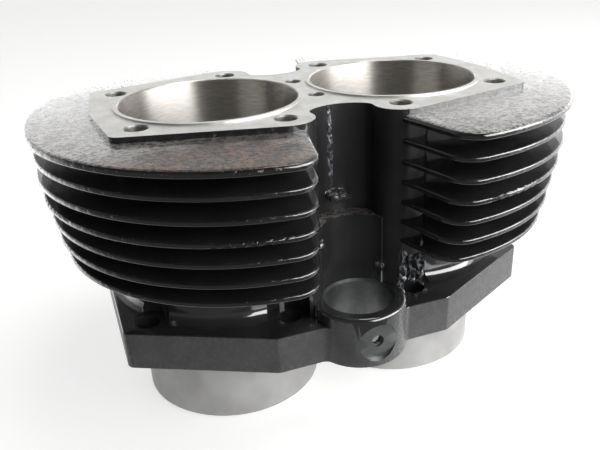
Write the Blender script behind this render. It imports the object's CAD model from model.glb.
# %% [markdown]
# The cylinder barrel of a parallel twin: one iron casting with two bores, seven
# levels of cooling fins round each, a joint land for the head on top, and a
# flange with two tappet bosses below. The outside is gloss black enamel over the
# skin that the sand mould left. The joint faces, bores and spigots are bare.
#
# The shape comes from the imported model. This file gives it its finishes, and the
# small things that a casting has: screw threads, sand grit, seams, torn places
# and a run of paint.

import math

import bmesh
import bpy
import numpy as np
from mathutils import Matrix, Vector
from mathutils import noise as turbulence


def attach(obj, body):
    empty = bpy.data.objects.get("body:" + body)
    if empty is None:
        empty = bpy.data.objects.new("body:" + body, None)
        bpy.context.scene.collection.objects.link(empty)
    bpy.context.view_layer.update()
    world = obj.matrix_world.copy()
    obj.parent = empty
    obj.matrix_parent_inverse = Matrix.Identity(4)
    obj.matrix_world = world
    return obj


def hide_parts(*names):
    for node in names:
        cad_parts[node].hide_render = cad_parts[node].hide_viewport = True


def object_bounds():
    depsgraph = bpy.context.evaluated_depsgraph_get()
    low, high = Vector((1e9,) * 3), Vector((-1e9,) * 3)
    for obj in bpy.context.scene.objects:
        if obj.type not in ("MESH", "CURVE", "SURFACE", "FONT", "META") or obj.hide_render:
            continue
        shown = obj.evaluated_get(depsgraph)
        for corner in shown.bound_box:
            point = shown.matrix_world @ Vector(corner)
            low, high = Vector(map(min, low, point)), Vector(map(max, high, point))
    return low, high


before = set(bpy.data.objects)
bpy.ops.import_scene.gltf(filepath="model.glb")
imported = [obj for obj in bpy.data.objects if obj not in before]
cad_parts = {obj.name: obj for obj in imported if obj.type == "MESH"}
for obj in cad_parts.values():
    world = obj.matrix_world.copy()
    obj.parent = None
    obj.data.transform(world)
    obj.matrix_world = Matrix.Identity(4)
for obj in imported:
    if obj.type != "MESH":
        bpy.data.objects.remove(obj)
cad_low, cad_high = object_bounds()
MM = 0.001
print("CAD box in mm:", [round(v / MM, 1) for v in (*cad_low, *cad_high)])

# %% [markdown]
# The sizes below are the ones that the finishes need: they say where one surface
# ends and the next begins. They are in millimetres, from the base joint face.

# %% Sizes of the casting
BORE_OUT = 43.4
BORE_RADIUS = 38.0
JOINT_HEIGHT = 100.0
LIP_WIDTH = 2.2
TOP_FIN_HEIGHT = 97.7
FLANGE_THICKNESS = 16.7
VALLEY_FLOOR = 53.8
TAPPET_OUT = 56.5
TAPPET_RADIUS = 14.2
SCREW_HEIGHT = 10.8
SPOTFACE_RADIUS = 8.5
CORNER_BOLT_RADIUS, CENTRE_BOLT_RADIUS = 4.4, 3.4
HEAD_BOLTS = [
    *[(sx * 78.6, sy * 31.05, CORNER_BOLT_RADIUS) for sx in (-1, 1) for sy in (-1, 1)],
    *[(sx * 24.55, sy * 44.8, CORNER_BOLT_RADIUS) for sx in (-1, 1) for sy in (-1, 1)],
    *[(0.0, sy * 14.6, CENTRE_BOLT_RADIUS) for sy in (-1, 1)],
]
BASE_STUDS = [
    *[(sx * 85.5, sy * 30.0) for sx in (-1, 1) for sy in (-1, 1)],
    *[(sx * 29.5, sy * 50.5) for sx in (-1, 1) for sy in (-1, 1)],
]
print(len(HEAD_BOLTS), "head bolt holes,", len(BASE_STUDS), "base stud holes")

# %% [markdown]
# The camera is where the photographer's was. Its place, turn and lens were worked
# out from the rims of the bores and the ten bolt holes, whose real spacing is
# known. The shift is the small amount by which the picture was cropped off centre.

# %% Camera
CAMERA_PLACE = Vector((-0.105086, -0.283204, 0.167515))
CAMERA_AZIMUTH, CAMERA_ELEVATION, CAMERA_ROLL = -20.3619, 25.2337, -2.2906
FOCAL_PIXELS, PICTURE_WIDTH, PICTURE_HEIGHT = 676.684, 600, 450
OPTICAL_CENTRE = (310.20, 239.01)

azimuth, elevation, roll = (
    math.radians(a) for a in (CAMERA_AZIMUTH, CAMERA_ELEVATION, CAMERA_ROLL)
)
back = Vector(
    (
        math.sin(azimuth) * math.cos(elevation),
        -math.cos(azimuth) * math.cos(elevation),
        math.sin(elevation),
    )
)
level_right = (-back).cross(Vector((0, 0, 1))).normalized()
level_up = level_right.cross(-back)
right = math.cos(roll) * level_right + math.sin(roll) * level_up
up = -math.sin(roll) * level_right + math.cos(roll) * level_up

lens = bpy.data.cameras.new("camera")
lens.sensor_width = 36.0
lens.lens = FOCAL_PIXELS * lens.sensor_width / PICTURE_WIDTH
lens.shift_x = (PICTURE_WIDTH / 2 - OPTICAL_CENTRE[0]) / PICTURE_WIDTH
lens.shift_y = (OPTICAL_CENTRE[1] - PICTURE_HEIGHT / 2) / PICTURE_WIDTH
lens.clip_start, lens.clip_end = 0.01, 20.0
camera = bpy.data.objects.new("camera", lens)
camera.matrix_world = Matrix.Translation(CAMERA_PLACE) @ Matrix(
    (right, up, back)
).transposed().to_4x4()
bpy.context.scene.collection.objects.link(camera)
bpy.context.scene.camera = camera
print(f"lens {lens.lens:.1f} mm, shift {lens.shift_x:.4f}, {lens.shift_y:.4f}")

# %% [markdown]
# Each finish below is a Principled material. Colours are written as sRGB hex,
# as a paint chart gives them, and turned to the linear values that the shader
# needs. One function adds a node with its settings and links.

# %% Colours and nodes


def linear(hex_colour):
    """The linear colour of an sRGB hex value."""
    channels = [int(hex_colour[i : i + 2], 16) / 255 for i in (1, 3, 5)]
    return (
        *[c / 12.92 if c <= 0.04045 else ((c + 0.055) / 1.055) ** 2.4 for c in channels],
        1.0,
    )


def fill(tree, made, **inputs):
    """Sets inputs by name, _ for a space, or by number. Nodes and outputs are linked."""
    for name, value in inputs.items():
        number = name[1:]
        socket = made.inputs[int(number) if number.isdigit() else name.replace("_", " ")]
        if isinstance(value, bpy.types.Node):
            value = value.outputs[0]
        if isinstance(value, bpy.types.NodeSocket):
            tree.links.new(value, socket)
        else:
            socket.default_value = value
    return made


def node(tree, kind, settings=None, **inputs):
    """Adds a node with its settings and fills its inputs."""
    made = tree.nodes.new(kind)
    for name, value in (settings or {}).items():
        setattr(made, name, value)
    return fill(tree, made, **inputs)


print("black enamel is", [round(c, 4) for c in linear("#2b2b2c")], "in linear colour")

# %% [markdown]
# No surface of a casting is even. Its colour, its shine and its height all wander
# over lumps of some size, so three small functions make those from noise. The
# size of the lumps is given in millimetres, because that can be judged on the part.

# %% Uneven colour, shine and height
FIRST_COLOUR, SECOND_COLOUR = "_6", "_7"


def finish_named(name):
    """A material, with its tree, its shader and the place of each point on the object."""
    material = bpy.data.materials.new(name)
    material.use_nodes = True
    tree = material.node_tree
    tree.nodes.clear()
    shader = node(tree, "ShaderNodeBsdfPrincipled")
    node(tree, "ShaderNodeOutputMaterial", Surface=shader)
    place = node(tree, "ShaderNodeTexCoord").outputs["Object"]
    return material, tree, shader, place


def wandering(tree, place, lump_mm, first, second, contrast=(0.3, 0.7), detail=2.0):
    """A number that wanders from first to second over lumps of lump_mm."""
    noise = node(tree, "ShaderNodeTexNoise", Vector=place, Scale=1 / (lump_mm * MM), Detail=detail)
    low, high = contrast
    return node(
        tree,
        "ShaderNodeMapRange",
        Value=noise,
        From_Min=low,
        From_Max=high,
        To_Min=first,
        To_Max=second,
    )


def mottled(tree, place, lump_mm, first, second, contrast=(0.35, 0.65), detail=2.0):
    """A colour that wanders from first to second over patches of lump_mm."""
    amount = wandering(tree, place, lump_mm, 0.0, 1.0, contrast, detail)
    colours = {FIRST_COLOUR: linear(first), SECOND_COLOUR: linear(second)}
    return node(tree, "ShaderNodeMix", {"data_type": "RGBA"}, _0=amount, **colours).outputs[2]


def lumpy(tree, place, lump_mm, depth_mm, strength, detail=2.0, below=None):
    """Lumps that are lump_mm across and depth_mm high, on top of the relief below."""
    noise = node(tree, "ShaderNodeTexNoise", Vector=place, Scale=1 / (lump_mm * MM), Detail=detail)
    bump = node(tree, "ShaderNodeBump", Height=noise, Distance=depth_mm * MM, Strength=strength)
    return fill(tree, bump, Normal=below) if below else bump


FINISHES = []


def finished(material, tree):
    """Puts a finish on the list. Its place there is the number that a face carries."""
    FINISHES.append(material)
    print(material.name, "with", len(tree.nodes), "nodes")
    return len(FINISHES) - 1


# %% [markdown]
# Gloss black enamel on a sand casting. The paint is smooth, but the skin under
# it isn't: lumps of a few millimetres and sand grains of under one show through,
# so reflections break into short streaks. The wet shine is a coat over a paint
# that is itself a little rougher.

# %% Gloss black enamel
PAINT_PATCH_MM = 14
SHINE_PATCH_MM = 3
SAND_MM = 0.8


def black_enamel(name, tones, shine, coat, lump_mm, lump_depth_mm, strength, sand_depth_mm):
    """Black paint over lumps and sand. coat is how much wet shine lies on top."""
    paint, tree, shader, place = finish_named(name)
    lumps = lumpy(tree, place, lump_mm, lump_depth_mm, strength)
    fill(
        tree,
        shader,
        Base_Color=mottled(tree, place, PAINT_PATCH_MM, *tones),
        Roughness=wandering(tree, place, SHINE_PATCH_MM, *shine),
        Normal=lumpy(tree, place, SAND_MM, sand_depth_mm, 0.6, 3, below=lumps),
        IOR=1.52,
        Specular_IOR_Level=0.2,
        Coat_Weight=coat,
        Coat_Roughness=0.05,
    )
    return paint, finished(paint, tree)


enamel, ENAMEL = black_enamel(
    "gloss_black_enamel_on_sand_cast_iron",
    tones=("#2b2b2c", "#353536"),
    shine=(0.1, 0.2),
    coat=1.0,
    lump_mm=4.5,
    lump_depth_mm=0.18,
    strength=0.5,
    sand_depth_mm=0.03,
)

# %% [markdown]
# The top of the upper fins, where the paint is thin and rubbed. The bare skin of
# the casting shows: pale grey with dark pits, rough, under a dull oily sheen.
# Where hands have been, at the front of one fin, it is browned and a little rusty,
# and the sheen is worn off. That place is an egg whose edge the blotches ruffle.

# %% Rubbed casting skin
HANDLED_MIDDLE = (-0.058, -0.076, 0.0977)
HANDLED_SCALE = (1 / 0.043, 1 / 0.026, 10.0)
skin, tree, shader, place = finish_named("rubbed_and_oiled_cast_iron_skin")
blotch = node(
    tree, "ShaderNodeTexNoise", Vector=place, Scale=1 / (9 * MM), Detail=3, Roughness=0.6
)
speckle = node(
    tree, "ShaderNodeTexNoise", Vector=place, Scale=1 / (1.7 * MM), Detail=4, Roughness=0.75
)
from_middle = node(
    tree, "ShaderNodeVectorMath", {"operation": "SUBTRACT"}, _0=place, _1=HANDLED_MIDDLE
)
stretched = node(
    tree, "ShaderNodeVectorMath", {"operation": "MULTIPLY"}, _0=from_middle, _1=HANDLED_SCALE
)
away = node(tree, "ShaderNodeVectorMath", {"operation": "LENGTH"}, _0=stretched).outputs["Value"]
ruffle = node(
    tree,
    "ShaderNodeMapRange",
    Value=blotch,
    From_Min=0.3,
    From_Max=0.7,
    To_Min=-0.3,
    To_Max=0.3,
)
ruffled_away = node(tree, "ShaderNodeMath", {"operation": "ADD"}, _0=away, _1=ruffle)
handled = node(
    tree,
    "ShaderNodeMapRange",
    Value=ruffled_away,
    From_Min=0.55,
    From_Max=1.15,
    To_Min=1.0,
    To_Max=0.0,
)
rust_patch = node(tree, "ShaderNodeMapRange", Value=blotch, From_Min=0.42, From_Max=0.58)
rusty = node(tree, "ShaderNodeMath", {"operation": "MULTIPLY"}, _0=handled, _1=rust_patch)
worn = node(tree, "ShaderNodeMapRange", Value=blotch, From_Min=0.4, From_Max=0.62)
print("wear of the skin:", len(tree.nodes), "nodes")

# %% [markdown]
# The colours lie on each other like washes of paint: plain skin, browned skin,
# rust, and last the dark pits, which are where the speckle is lowest. The same
# speckle gives the height, so that a pit is dark and deep at once.

# %% Colours of the skin, one over the other
colour = linear("#a19e99")
for amount, pigment in ((worn, "#85817c"), (handled, "#4a433e"), (rusty, "#6b493a")):
    layer = {FIRST_COLOUR: colour, SECOND_COLOUR: linear(pigment)}
    mix = node(tree, "ShaderNodeMix", {"data_type": "RGBA"}, _0=amount, **layer)
    colour = mix.outputs[2]
out_of_pits = node(tree, "ShaderNodeMapRange", Value=speckle, From_Min=0.44, From_Max=0.53)
layer = {FIRST_COLOUR: linear("#252220"), SECOND_COLOUR: colour}
pitted = node(tree, "ShaderNodeMix", {"data_type": "RGBA"}, _0=out_of_pits, **layer)
pits = node(tree, "ShaderNodeBump", Height=speckle, Distance=0.7 * MM, Strength=1.0)
fill(
    tree,
    shader,
    Base_Color=pitted.outputs[2],
    Roughness=node(
        tree,
        "ShaderNodeMapRange",
        Value=speckle,
        From_Min=0.3,
        From_Max=0.7,
        To_Min=0.48,
        To_Max=0.3,
    ),
    Metallic=0.45,
    Coat_Weight=node(tree, "ShaderNodeMapRange", Value=handled, To_Min=1.0, To_Max=0.25),
    Coat_Roughness=0.14,
    Normal=fill(tree, pits, Normal=lumpy(tree, place, 3.5, 0.3, 0.6)),
)
SKIN = finished(skin, tree)

# %% [markdown]
# Milled grey iron: the head joint and the base joint. It is a pale even grey, with
# straight marks from the cutter. Real marks are finer than a pixel here, so they
# are drawn 0.7 mm wide, which is as fine as the render can show.

# %% Milled joint face
CUTTER_TURN = math.radians(8)
milled, tree, shader, place = finish_named("milled_grey_iron_joint")
marks = node(
    tree,
    "ShaderNodeMapping",
    Vector=place,
    Scale=(1.0, 0.12, 1.0),
    Rotation=(0, 0, CUTTER_TURN),
)
marks = marks.outputs["Vector"]
fill(
    tree,
    shader,
    Base_Color=mottled(tree, place, 9, "#cdccc9", "#bbbab6"),
    Roughness=wandering(tree, marks, 0.7, 0.34, 0.48),
    Metallic=0.85,
    Normal=lumpy(tree, marks, 0.7, 0.02, 0.6),
)
MILLED = finished(milled, tree)

# %% [markdown]
# Honed bores. A stone leaves fine crossed scratches at a shallow angle, which
# stretch reflections up and down the wall into bands. The scratches themselves are
# hundredths of a millimetre wide, so a coarser noise stands for them, and the
# shader's own anisotropy does the stretching.

# %% Honed bore
honed, tree, shader, place = finish_named("honed_iron_bore")
stone = node(tree, "ShaderNodeMapping", Vector=place, Scale=(0.25, 0.25, 2.0)).outputs["Vector"]
round_the_bore = node(tree, "ShaderNodeTangent", {"direction_type": "RADIAL", "axis": "Z"})
fill(
    tree,
    shader,
    Base_Color=mottled(tree, stone, 1.2, "#bcb9b4", "#a5a29d", detail=3),
    Roughness=wandering(tree, stone, 1.2, 0.32, 0.4, detail=3),
    Metallic=1.0,
    Anisotropic=0.9,
    Anisotropic_Rotation=0.25,
    Tangent=round_the_bore,
    Normal=lumpy(tree, stone, 1.2, 0.012, 0.6, detail=3),
)
HONED = finished(honed, tree)

# %% [markdown]
# Turned spigots: a soft satin grey, with rings from the lathe tool. The rings are
# noise squeezed flat, so that it changes up the spigot but hardly round it.

# %% Turned spigot
turned, tree, shader, place = finish_named("turned_iron_spigot")
rings = node(tree, "ShaderNodeMapping", Vector=place, Scale=(0.02, 0.02, 1.0)).outputs["Vector"]
fill(
    tree,
    shader,
    Base_Color=mottled(tree, place, 16, "#c6c6c5", "#b2b1b0"),
    Roughness=wandering(tree, rings, 0.6, 0.42, 0.55),
    Metallic=0.7,
    Normal=lumpy(tree, rings, 0.6, 0.02, 0.5),
)
TURNED = finished(turned, tree)

# %% [markdown]
# The edge of the flange is sand cast and has only a thin, flat coat, so it is a
# matt dark grey.

# %% Thin flat coat
matt, tree, shader, place = finish_named("thin_matt_black_coat")
fill(
    tree,
    shader,
    Base_Color=mottled(tree, place, 7, "#5a5a5b", "#646465", detail=3),
    Roughness=wandering(tree, place, 2, 0.22, 0.32),
    Normal=lumpy(tree, place, 1.4, 0.03, 0.5),
)
MATT = finished(matt, tree)

# %% [markdown]
# The guide bores and the spotfaces round the screws are drilled and left bare.
# They are darker than the joint face, because they are oily and face away from
# the light.

# %% Drilled bare iron
drilled, tree, shader, place = finish_named("bored_and_drilled_bare_iron")
fill(
    tree,
    shader,
    Base_Color=mottled(tree, place, 3, "#7c7e7e", "#6e7070", contrast=(0.3, 0.7)),
    Roughness=wandering(tree, place, 1, 0.3, 0.4),
    Metallic=0.9,
    Normal=lumpy(tree, place, 0.8, 0.015, 0.5),
)
DRILLED = finished(drilled, tree)

# %% [markdown]
# The head bolts' holes are tapped. Bolts have burnished them, so they are a
# brighter iron than the drilled places, and glint from inside.

# %% Tapped bare iron
tapped, tree, shader, place = finish_named("tapped_bare_iron")
fill(
    tree,
    shader,
    Base_Color=mottled(tree, place, 2, "#a8a7a4", "#838280", contrast=(0.3, 0.7)),
    Roughness=wandering(tree, place, 1, 0.32, 0.45),
    Metallic=0.9,
)
TAPPED = finished(tapped, tree)

# %% [markdown]
# The same enamel lies differently in two places. On the rough edges of the fins
# it is thin over deep sand, so the edges glint in dots instead of one line. Inside
# the pushrod valleys it is satin, so the walls there don't mirror the room.

# %% Enamel on the fins' edges and in the valleys
_, FIN_RIM = black_enamel(
    "gloss_black_enamel_on_rough_fin_edge",
    tones=("#1b1b1c", "#222223"),
    shine=(0.1, 0.2),
    coat=1.0,
    lump_mm=3.0,
    lump_depth_mm=0.9,
    strength=1.0,
    sand_depth_mm=0.08,
)
_, VALLEY = black_enamel(
    "satin_black_enamel_in_the_valleys",
    tones=("#29292a", "#303031"),
    shine=(0.3, 0.42),
    coat=0.0,
    lump_mm=5.0,
    lump_depth_mm=0.2,
    strength=0.5,
    sand_depth_mm=0.04,
)

# %% [markdown]
# Where the sand core broke, the iron is torn. Paint lies in the hollows and the
# crests are bare, so black and grey lie side by side within a millimetre or two.

# %% Torn iron, half painted
torn, tree, shader, place = finish_named("torn_iron_half_painted")
fill(
    tree,
    shader,
    Base_Color=mottled(tree, place, 1.6, "#2b2b2d", "#8b8f95", contrast=(0.46, 0.6), detail=3),
    Roughness=0.34,
    Metallic=0.15,
    Normal=lumpy(tree, place, 1.0, 0.2, 0.8, detail=3),
)
TORN = finished(torn, tree)
print(len(FINISHES), "finishes")

# %% [markdown]
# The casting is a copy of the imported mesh. That mesh is loose triangles, and a
# bevel or a cut needs to know which triangles are neighbours, so the points that
# lie on each other are merged first.

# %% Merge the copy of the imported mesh
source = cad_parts["cylinder_barrel"]
work = bmesh.new()
work.from_mesh(source.data)
MERGE_MM, SLIVER_MM = 0.004, 0.001
bmesh.ops.remove_doubles(work, verts=work.verts, dist=MERGE_MM * MM)
bmesh.ops.dissolve_degenerate(work, edges=work.edges, dist=SLIVER_MM * MM)
open_edges = sum(len(e.link_faces) != 2 for e in work.edges)
print(len(work.faces), "faces,", open_edges, "open edges")

# %% [markdown]
# A few places on the real casting are ragged, where sand broke away from the
# core: a seam up the middle of each pushrod valley, a torn patch beside one tappet
# boss, and small lumps. A bump in the material would stay flat seen from the side.
# So the mesh is cut finer there, and later pushed out, as a sculptor would do it.

# %% Cut the ragged places finer
# Each row: name, middle, reach across, out and up, height, size of the lumps. All in mm.
RAGGED = [
    ("front_seam", (-2.4, -34.5, 82.0), (1.3, 4.0, 19.0), 1.0, 1.5),
    ("rear_seam", (0.8, 34.5, 84.0), (1.6, 4.0, 17.0), 1.1, 1.5),
    ("front_stub", (-1.0, -36.0, 62.0), (5.0, 5.0, 2.2), 0.7, 1.6),
    ("torn_patch", (34.0, -42.8, 23.0), (6.5, 4.5, 12.0), 3.0, 2.2),
    ("torn_edge", (21.8, -55.8, 27.0), (2.2, 3.0, 13.0), 1.5, 1.8),
    ("core_lump", (-13.4, -50.0, 46.6), (3.0, 3.0, 2.0), 2.0, 1.8),
    ("boss_lump", (13.3, -49.2, 31.2), (2.4, 2.6, 1.3), 1.1, 1.5),
    ("foot_run", (-75.0, -33.0, 17.0), (2.2, 6.0, 1.5), 0.8, 2.0),
]
SHORT_EDGE_MM = 0.55
CUTTING_MARGIN_MM = 0.8
MOST_ROUNDS = 10
LOOKS_ALONG_EDGE = 13


def nearness(points, middle, reach, margin_mm=0.0):
    """1 at the middle of an egg-shaped place, 0 from its edge on. All in mm."""
    away = (((points - np.array(middle)) / (np.array(reach) + margin_mm)) ** 2).sum(-1)
    return np.clip(1.0 - away, 0.0, 1.0)


for round_number in range(MOST_ROUNDS):
    work.verts.index_update()
    work.edges.ensure_lookup_table()
    points = np.array([v.co[:] for v in work.verts]) / MM
    ends = np.array([(e.verts[0].index, e.verts[1].index) for e in work.edges])
    first, last = points[ends[:, 0]], points[ends[:, 1]]
    cut_here = np.zeros(len(ends), bool)
    for _, middle, reach, _, _ in RAGGED:
        for t in np.linspace(0, 1, LOOKS_ALONG_EDGE):
            on_edge = first + (last - first) * t
            cut_here |= nearness(on_edge, middle, reach, CUTTING_MARGIN_MM) > 0
    cut_here &= np.linalg.norm(last - first, axis=1) > SHORT_EDGE_MM
    if not cut_here.any():
        break
    chosen = [work.edges[int(k)] for k in np.flatnonzero(cut_here)]
    bmesh.ops.subdivide_edges(work, edges=chosen, cuts=1)
    bmesh.ops.triangulate(work, faces=[f for f in work.faces if len(f.verts) > 3])
    # Two faces on the same three points are a flap with no thickness, so both go.
    on_points = {}
    for edge in work.edges:
        if len(edge.link_faces) > 2:
            for face in edge.link_faces:
                on_points.setdefault(frozenset(face.verts), {})[face] = True
    flaps = [face for pair in on_points.values() if len(pair) > 1 for face in pair]
    bmesh.ops.delete(work, geom=flaps, context="FACES")
print(len(work.faces), "faces after", round_number, "rounds of cutting")

# %% [markdown]
# Each point of a ragged place is now pushed out along its normal, by fractal
# noise that is stretched downwards, the way torn iron and runs of paint lie. The
# push fades to nothing at the edge of the place, so no step is left there.

# %% Push the ragged places out
LUMP_STRETCH_DOWN = 2.2
LUMP_LIFT = 0.3
FADE = 2.5
ROUGHNESS, LACUNARITY, OCTAVES = 1.0, 2.0, 3
work.normal_update()
points = np.array([v.co[:] for v in work.verts]) / MM
work.verts.ensure_lookup_table()
for name, middle, reach, height_mm, lump_mm in RAGGED:
    depth = nearness(points, middle, reach)
    for k in np.flatnonzero(depth > 0):
        vertex = work.verts[int(k)]
        lump = Vector(points[k] / (lump_mm, lump_mm, LUMP_STRETCH_DOWN * lump_mm))
        wave = turbulence.fractal(lump, ROUGHNESS, LACUNARITY, OCTAVES)
        rise = max(0.0, LUMP_LIFT + wave) * min(1.0, depth[k] * FADE) * height_mm
        vertex.co += vertex.normal * rise * MM
    print(name, int((depth > 0).sum()), "points pushed out")

# %% [markdown]
# The upper edge of the flange was dressed with a file before painting. The solid
# has it sharp, so the edge is rounded here: a bevel of under a millimetre is what
# catches the light along the flange.

# %% Round the upper edge of the flange
RIM_RADIUS, RIM_STEPS = 0.8, 3
SHARP_EDGE = math.radians(60)
CLEAR_OF_STUD = 6.5
flange_rim = []
for edge in work.edges:
    ends = [v.co / MM for v in edge.verts]
    on_top = all(abs(end.z - FLANGE_THICKNESS) <= 0.05 for end in ends)
    if len(edge.link_faces) != 2 or not on_top:
        continue
    middle = (ends[0] + ends[1]) / 2
    from_studs = min(math.hypot(middle.x - sx, middle.y - sy) for sx, sy in BASE_STUDS)
    if edge.calc_face_angle_signed() > SHARP_EDGE and from_studs > CLEAR_OF_STUD:
        flange_rim.append(edge)
bmesh.ops.bevel(
    work,
    geom=flange_rim,
    offset=RIM_RADIUS * MM,
    offset_type="OFFSET",
    segments=RIM_STEPS,
    profile=0.5,
    affect="EDGES",
    clamp_overlap=False,
    loop_slide=True,
)
bmesh.ops.triangulate(work, faces=[f for f in work.faces if len(f.verts) > 3])
open_edges = sum(len(e.link_faces) != 2 for e in work.edges)
print(len(flange_rim), "edges rounded,", open_edges, "open edges")

# %% [markdown]
# The copy is shaded smooth between its sharp edges, as a cast and machined part
# looks. Where the column is blended into the valley, the surface turns quickly but
# has no real edge, so only steeper angles count as sharp there.

# %% Smooth shading between sharp edges
SHARP = math.radians(28)
SHARP_IN_BLEND = math.radians(48)
work.normal_update()
for face in work.faces:
    face.smooth = True
for edge in work.edges:
    if len(edge.link_faces) == 2:
        middle = (edge.verts[0].co + edge.verts[1].co) / (2 * MM)
        in_blend = abs(middle.x) < 20 and 36 < abs(middle.y) < 56 and 26 < middle.z < 53
        edge.smooth = edge.calc_face_angle() < (SHARP_IN_BLEND if in_blend else SHARP)
shape = bpy.data.meshes.new("barrel_casting")
work.to_mesh(shape)
work.free()
for finish in FINISHES:
    shape.materials.append(finish)
print(sum(not edge.use_edge_sharp for edge in shape.edges), "smooth edges of", len(shape.edges))

# %% [markdown]
# Each face takes its finish from where it is and which way it faces, as a
# machinist would say it: this is the bore, that is the joint face. So the places
# and directions of all faces are read into lists of numbers first. The casting is
# the same left and right, front and rear, so x and y are taken without their sign.

# %% Measure each face
centres = np.empty(len(shape.polygons) * 3)
shape.polygons.foreach_get("center", centres)
centres = centres.reshape(-1, 3) / MM
normals = np.empty(len(shape.polygons) * 3)
shape.polygons.foreach_get("normal", normals)
facing_up = normals.reshape(-1, 3)[:, 2]
upright = np.abs(facing_up) < 0.5
x, y, z = np.abs(centres[:, 0]), np.abs(centres[:, 1]), centres[:, 2]
from_bore = np.hypot(x - BORE_OUT, y)
from_tappet = np.hypot(x, y - TAPPET_OUT)
from_screw = np.hypot(x, z - SCREW_HEIGHT)
corner_heights = np.array([shape.vertices[k].co.z for p in shape.polygons for k in p.vertices])
face_height = np.ptp(corner_heights.reshape(-1, 3) / MM, axis=1)
print(int(upright.sum()), "upright faces of", len(centres))

# %% [markdown]
# All is gloss enamel until a rule says otherwise. Rules for machined places come
# after those for cast ones, as the machining came after the casting, so that the
# last rule that fits a face is the one that holds.

# %% Finish of the cast and machined places
choice = np.full(len(centres), ENAMEL)
choice[(z > TOP_FIN_HEIGHT - 1.5) & (facing_up > 0.8)] = SKIN
valley_floor = (np.abs(z - VALLEY_FLOOR) < 0.3) & (facing_up > 0.9)
choice[valley_floor & (x < 17) & (y < 50)] = SKIN
choice[(z > 0.05) & (z < FLANGE_THICKNESS + 0.1) & upright & (x + y > 50)] = MATT
choice[(z > JOINT_HEIGHT - 0.5) & (facing_up > 0.9)] = MILLED
choice[(z > JOINT_HEIGHT - 0.1) & (from_bore < BORE_RADIUS + LIP_WIDTH + 0.4)] = MILLED
choice[np.abs(z) < 0.02] = MILLED
choice[(z < -0.02) & (from_bore > BORE_RADIUS + 0.2)] = TURNED
choice[(from_bore < BORE_RADIUS + 0.6) & (np.abs(facing_up) < 0.9)] = HONED
below_boss_top = z < 24
choice[(from_tappet < TAPPET_RADIUS + 1.2) & below_boss_top & (facing_up < 0.9)] = DRILLED
by_screw = (z < 21) & (y > 68)
in_spotface = (from_screw < SPOTFACE_RADIUS + 0.1) & (y > 73.2) & (y < 76.4)
choice[by_screw & in_spotface] = DRILLED
choice[by_screw & (from_screw < 3)] = MATT
for hx, hy, radius in HEAD_BOLTS:
    in_hole = np.hypot(centres[:, 0] - hx, centres[:, 1] - hy) < radius + 0.7
    choice[in_hole & (z > 60) & (facing_up < 0.95)] = TAPPED
for hx, hy in BASE_STUDS:
    in_hole = np.hypot(centres[:, 0] - hx, centres[:, 1] - hy) < 5.3
    choice[in_hole & (z < 18) & upright] = ENAMEL
print(int((choice != ENAMEL).sum()), "faces aren't plain enamel")

# %% [markdown]
# The three special kinds come last: the fins' edges, which are the low faces far
# out from the bore, and the side of the joint land; the walls of the valleys; and
# the torn places, which the list of ragged places gives.

# %% Finish of the fins' edges, the valleys and the torn places
FIN_EDGE_HEIGHT = 3.2
FIN_EDGE_FROM_BORE = 57
TORN_FROM = 0.1
between_fins = (z > 24) & (z < 98) & (facing_up > -0.3) & (facing_up < 0.93)
fin_edge = between_fins & (face_height < FIN_EDGE_HEIGHT) & (from_bore > FIN_EDGE_FROM_BORE)
choice[(choice == ENAMEL) & fin_edge] = FIN_RIM
land_side = (z > TOP_FIN_HEIGHT + 0.2) & (z < JOINT_HEIGHT - 0.4) & upright & (y > 20)
choice[(choice == ENAMEL) & land_side] = FIN_RIM
in_valley = (x < 31) & (y < 61) & (z > 25.5) & (facing_up < 0.9)
choice[(choice == ENAMEL) & in_valley] = VALLEY
for _, middle, reach, _, _ in RAGGED:
    choice[(nearness(centres, middle, reach) > TORN_FROM) & (choice != SKIN)] = TORN
shape.polygons.foreach_set("material_index", choice.astype(np.int32))
print({finish.name: int((choice == k).sum()) for k, finish in enumerate(FINISHES)})

# %% [markdown]
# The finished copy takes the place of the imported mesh. It rides the part's one
# body, and keeps the name of the slot that the record gives it.

# %% Put the casting in the frame
casting = bpy.data.objects.new("barrel_casting", shape)
bpy.context.scene.collection.objects.link(casting)
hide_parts("cylinder_barrel")
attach(casting, "root")
print(casting.name, "with", len(shape.polygons), "faces")

# %% [markdown]
# Grains of sand and screw threads repeat, so Geometry Nodes make them. A tree has
# named inputs for its sizes. It runs on a base mesh, and its result is kept as a
# plain mesh, because an exported model has no modifiers.

# %% A tree of Geometry Nodes, and the piece that it makes


def empty_tree(name, inputs, result):
    """A tree with named inputs and one result, and the outputs that give its inputs."""
    tree = bpy.data.node_groups.new(name, "GeometryNodeTree")
    for label, kind in inputs.items():
        tree.interface.new_socket(label, in_out="INPUT", socket_type="NodeSocket" + kind)
    tree.interface.new_socket(result, in_out="OUTPUT", socket_type="NodeSocketGeometry")
    return tree, tree.nodes.new("NodeGroupInput").outputs


def piece_from(tree, base, sizes):
    """Runs the tree on the base mesh and puts what it makes on the barrel."""
    holder = bpy.data.objects.new(tree.name + "_base", base)
    bpy.context.scene.collection.objects.link(holder)
    maker = holder.modifiers.new(tree.name, "NODES")
    maker.node_group = tree
    for item in tree.interface.items_tree:
        if item.in_out == "INPUT" and item.name in sizes:
            maker[item.identifier] = sizes[item.name]
    graph = bpy.context.evaluated_depsgraph_get()
    made = bpy.data.meshes.new_from_object(holder.evaluated_get(graph))
    made.name = tree.name
    bpy.data.objects.remove(holder)
    piece = bpy.data.objects.new(tree.name, made)
    bpy.context.scene.collection.objects.link(piece)
    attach(piece, "root")
    return made


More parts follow.
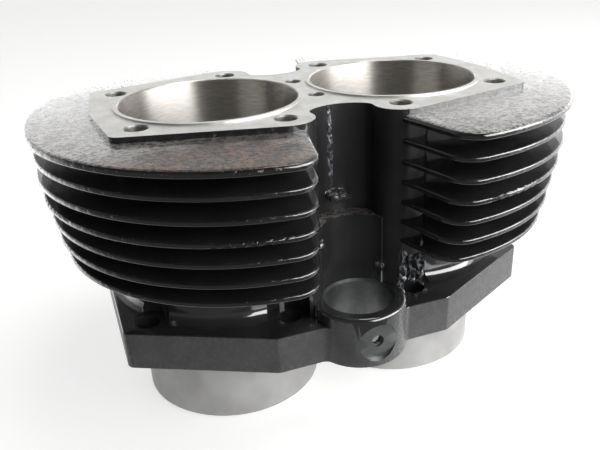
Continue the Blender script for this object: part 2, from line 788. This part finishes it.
# %% [markdown]
# Sand grains fuse to a casting and paint runs round them. They are what breaks up
# the shine on the top fins and along the fins' edges. A bump would not show on an
# edge, so the tree scatters real grains, half sunk in the surface, over the faces
# that are given. The seed is fixed, so each run makes the same grains.

# %% Grains of sand under the paint
SMALLEST_GRAIN_MM = 0.08
FACES_OF_A_GRAIN = 20
CM2_IN_M2 = 1e4


def sand_grains(name, faces, per_cm2, largest_mm, flatness, coat, seed):
    """Low round grains scattered over the chosen faces of the casting."""
    inputs = {
        "Skin": "Geometry",
        "Density": "Float",
        "Smallest": "Float",
        "Largest": "Float",
        "Flatness": "Vector",
        "Seed": "Int",
        "Coat": "Material",
    }
    tree, given = empty_tree(name, inputs, "Grains")
    scatter = node(
        tree,
        "GeometryNodeDistributePointsOnFaces",
        Mesh=given["Skin"],
        Density=given["Density"],
        Seed=given["Seed"],
    )
    size = node(
        tree,
        "FunctionNodeRandomValue",
        {"data_type": "FLOAT"},
        _2=given["Smallest"],
        _3=given["Largest"],
        Seed=given["Seed"],
    )
    flat = node(
        tree,
        "ShaderNodeVectorMath",
        {"operation": "SCALE"},
        _0=given["Flatness"],
        Scale=size.outputs[1],
    )
    ball = node(tree, "GeometryNodeMeshIcoSphere", Radius=1.0, Subdivisions=1)
    copies = node(
        tree,
        "GeometryNodeInstanceOnPoints",
        Points=scatter,
        Instance=ball,
        Scale=flat,
    )
    real = node(tree, "GeometryNodeRealizeInstances", Geometry=copies)
    rounded = node(tree, "GeometryNodeSetShadeSmooth", Geometry=real)
    clad = node(tree, "GeometryNodeSetMaterial", Geometry=rounded, Material=given["Coat"])
    node(tree, "NodeGroupOutput", Grains=clad)

    some = bmesh.new()
    some.from_mesh(shape)
    some.faces.ensure_lookup_table()
    others = [some.faces[int(k)] for k in np.flatnonzero(~faces)]
    bmesh.ops.delete(some, geom=others, context="FACES")
    patch = bpy.data.meshes.new(name + "_skin")
    some.to_mesh(patch)
    some.free()
    sizes = {
        "Density": per_cm2 * CM2_IN_M2,
        "Smallest": SMALLEST_GRAIN_MM * MM,
        "Largest": largest_mm * MM,
        "Flatness": (1.0, 1.0, flatness),
        "Seed": seed,
        "Coat": coat,
    }
    grains = len(piece_from(tree, patch, sizes).polygons) // FACES_OF_A_GRAIN
    print(name, int(faces.sum()), "faces strewn,", grains, "grains")


# %% [markdown]
# A grain must not stand out past the ends of the top fins, or the barrel would be
# longer than it is. So the outermost millimetre and a half gets none.

# %% Strew the top fins and the fins' edges
clear_of_ends = (x < 117.4) & (y < 88.8)
top_fins = (choice == SKIN) & (facing_up > 0.9) & (z > 97) & clear_of_ends
fin_edges = (choice == FIN_RIM) & (z < 98) & clear_of_ends
sand_grains("top_fin_grains", top_fins, 16, 0.26, 0.5, skin, seed=5)
sand_grains("fin_edge_grains", fin_edges, 14, 0.24, 1.0, enamel, seed=7)

# %% [markdown]
# The head bolts and the guide locking screws run in tapped holes. A thread is one
# ridge that climbs round the hole by its pitch at each turn, so the tree makes it
# from a spiral with a four-cornered section, and sets a copy of it in each hole.

# %% Threads in the tapped holes
STEPS_IN_A_TURN = 20
RIDGE_OF_PITCH = 0.36


def threads(name, mouths, radius_mm, pitch_mm, turns, iron, lie=(0.0, 0.0, 0.0)):
    """A spiral ridge in each hole. mouths are the places in mm where the spirals start."""
    inputs = {
        "Mouths": "Geometry",
        "Radius": "Float",
        "Pitch": "Float",
        "Turns": "Float",
        "Ridge": "Float",
        "Lie": "Rotation",
        "Iron": "Material",
    }
    tree, given = empty_tree(name, inputs, "Threads")
    height = node(
        tree, "ShaderNodeMath", {"operation": "MULTIPLY"}, _0=given["Pitch"], _1=given["Turns"]
    )
    spiral = node(
        tree,
        "GeometryNodeCurveSpiral",
        Resolution=STEPS_IN_A_TURN,
        Rotations=given["Turns"],
        Start_Radius=given["Radius"],
        End_Radius=given["Radius"],
        Height=height,
    )
    upright_spiral = node(tree, "GeometryNodeSetCurveNormal", {"mode": "Z_UP"}, Curve=spiral)
    section = node(tree, "GeometryNodeCurvePrimitiveCircle", Resolution=4, Radius=given["Ridge"])
    ridge = node(
        tree,
        "GeometryNodeCurveToMesh",
        Curve=upright_spiral,
        Profile_Curve=section,
        Fill_Caps=True,
    )
    copies = node(
        tree,
        "GeometryNodeInstanceOnPoints",
        Points=given["Mouths"],
        Instance=ridge,
        Rotation=given["Lie"],
    )
    real = node(tree, "GeometryNodeRealizeInstances", Geometry=copies)
    clad = node(tree, "GeometryNodeSetMaterial", Geometry=real, Material=given["Iron"])
    node(tree, "NodeGroupOutput", Threads=clad)

    seats = bpy.data.meshes.new(name + "_mouths")
    seats.from_pydata([[v * MM for v in mouth] for mouth in mouths], [], [])
    sizes = {
        "Radius": radius_mm * MM,
        "Pitch": pitch_mm * MM,
        "Turns": float(turns),
        "Ridge": RIDGE_OF_PITCH * pitch_mm * MM,
        "Lie": lie,
        "Iron": iron,
    }
    made = piece_from(tree, seats, sizes)
    heights = [round(v.co.z / MM, 1) for v in made.vertices]
    print(name, len(mouths), "holes,", len(made.polygons), "faces, z", min(heights), max(heights))


# %% [markdown]
# The head bolts' threads start a little below the joint face, under the holes'
# chamfers. The locking screws lie flat, one in each tappet boss, pointing inwards.

# %% Thread each hole
THREAD_TOP, HEAD_TURNS = 97.6, 18
for name, bolt_radius, pitch in (
    ("head_bolt_threads", CORNER_BOLT_RADIUS, 1.27),
    ("centre_bolt_threads", CENTRE_BOLT_RADIUS, 1.06),
):
    bottom = THREAD_TOP - pitch * HEAD_TURNS
    mouths = [(hx, hy, bottom) for hx, hy, radius in HEAD_BOLTS if radius == bolt_radius]
    threads(name, mouths, bolt_radius, pitch, HEAD_TURNS, tapped)

SCREW_RADIUS, SCREW_PITCH, SCREW_TURNS, SCREW_START = 2.7, 0.9, 3, 71.0
for name, side in (("front_screw_threads", -1), ("rear_screw_threads", 1)):
    mouths = [(0, side * SCREW_START, SCREW_HEIGHT)]
    inwards = (math.radians(-90 * side), 0.0, 0.0)
    threads(name, mouths, SCREW_RADIUS, SCREW_PITCH, SCREW_TURNS, matt, inwards)

# %% [markdown]
# The barrel stands on a white table that reaches back past the edge of the
# picture. Its near edge runs at a slant just in front of the barrel: what lies
# before it is plain white to the camera and sends no light up under the fins. The
# table glows a little to the camera and in reflections only, so that it looks
# white there and still shows the soft shadow under the barrel.

# %% White table
TABLE_CORNERS = [(-0.21, -0.021), (0.45, -0.307), (6.0, 6.0), (-0.56, 6.0)]
GLOW_SEEN, GLOW_REFLECTED = 0.62, 0.35
table_mesh = bpy.data.meshes.new("table")
table_mesh.from_pydata([(tx, ty, cad_low.z) for tx, ty in TABLE_CORNERS], [], [(0, 1, 2, 3)])
table = bpy.data.objects.new("table", table_mesh)
bpy.context.scene.collection.objects.link(table)
white = bpy.data.materials.new("white_table")
white.use_nodes = True
tree = white.node_tree
tree.nodes.clear()
rays = node(tree, "ShaderNodeLightPath").outputs
seen = node(
    tree, "ShaderNodeMath", {"operation": "MULTIPLY"}, _0=rays["Is Camera Ray"], _1=GLOW_SEEN
)
reflected = node(
    tree, "ShaderNodeMath", {"operation": "MULTIPLY"}, _0=rays["Is Glossy Ray"], _1=GLOW_REFLECTED
)
brightness = node(tree, "ShaderNodeMath", {"operation": "ADD"}, _0=seen, _1=reflected)
matt_white = node(tree, "ShaderNodeBsdfDiffuse", Color=linear("#d2d2d0"))
glow = node(tree, "ShaderNodeEmission", Color=linear("#ffffff"), Strength=brightness)
ground = node(tree, "ShaderNodeAddShader", _0=matt_white, _1=glow)
node(tree, "ShaderNodeOutputMaterial", Surface=ground)
table_mesh.materials.append(white)
print("table at z", round(cad_low.z / MM, 1), "mm")

# %% [markdown]
# The room round the barrel is what its gloss reflects: a bright wall behind and to
# the right, up to a little above the table, and a dim one in front. The camera
# itself sees plain white there.

# %% Surroundings
BRIGHT_SIDE = (0.45, 0.89, 0.0)
room = bpy.data.worlds.new("room")
bpy.context.scene.world = room
room.use_nodes = True
tree = room.node_tree
tree.nodes.clear()
rays = node(tree, "ShaderNodeLightPath").outputs
towards = node(tree, "ShaderNodeTexCoord").outputs["Generated"]
aim = node(tree, "ShaderNodeVectorMath", {"operation": "DOT_PRODUCT"}, _0=towards, _1=BRIGHT_SIDE)
height = node(tree, "ShaderNodeSeparateXYZ", Vector=towards).outputs["Z"]
round_room = node(
    tree,
    "ShaderNodeMapRange",
    Value=aim.outputs["Value"],
    From_Min=-0.2,
    From_Max=0.4,
    To_Min=0.26,
    To_Max=2.4,
)
up_wall = node(
    tree,
    "ShaderNodeMapRange",
    Value=height,
    From_Min=0.15,
    From_Max=0.33,
    To_Min=1.0,
    To_Max=0.25,
)
brightness = node(tree, "ShaderNodeMath", {"operation": "MULTIPLY"}, _0=round_room, _1=up_wall)
walls = node(tree, "ShaderNodeBackground", Color=linear("#ffffff"), Strength=brightness)
plain_white = node(tree, "ShaderNodeBackground", Color=linear("#ffffff"), Strength=1.0)
sky = node(tree, "ShaderNodeMixShader", _0=rays["Is Camera Ray"], _1=walls, _2=plain_white)
node(tree, "ShaderNodeOutputWorld", Surface=sky)
print("room with", len(tree.nodes), "nodes")

# %% [markdown]
# A broad window to the right of the camera, and a soft lamp overhead. Real window
# glass is far brighter than the white things it lights, which is why it leaves white
# spots even on black paint. The glare lamp gives the window that brightness in
# reflections alone, so the colours of matt surfaces stay as they are written.

# %% Lamps
# Each row: name, place, size, power in watts, and whether it lights matt surfaces.
LAMPS = [
    ("window", (0.68, -0.64, 0.42), (1.60, 0.66), 12.0, True),
    ("window_glare", (0.64, -0.71, 0.44), (1.35, 0.56), 22.0, False),
    ("ceiling_lamp", (0.25, -0.10, 1.10), (0.5, 0.5), 4.0, True),
]
BARREL_MIDDLE = Vector((0, 0, 0.04))
for name, spot_place, spot_size, power, lights_matt_surfaces in LAMPS:
    lamp = bpy.data.lights.new(name, "AREA")
    lamp.shape, lamp.size, lamp.size_y, lamp.energy = "RECTANGLE", *spot_size, power
    holder = bpy.data.objects.new(name, lamp)
    holder.location = spot_place
    holder.rotation_mode = "QUATERNION"
    from_barrel = Vector(spot_place) - BARREL_MIDDLE
    holder.rotation_quaternion = from_barrel.to_track_quat("Z", "Y")
    holder.visible_diffuse = lights_matt_surfaces
    bpy.context.scene.collection.objects.link(holder)
bpy.context.scene.view_settings.view_transform = "Standard"
print(len(LAMPS), "lamps")
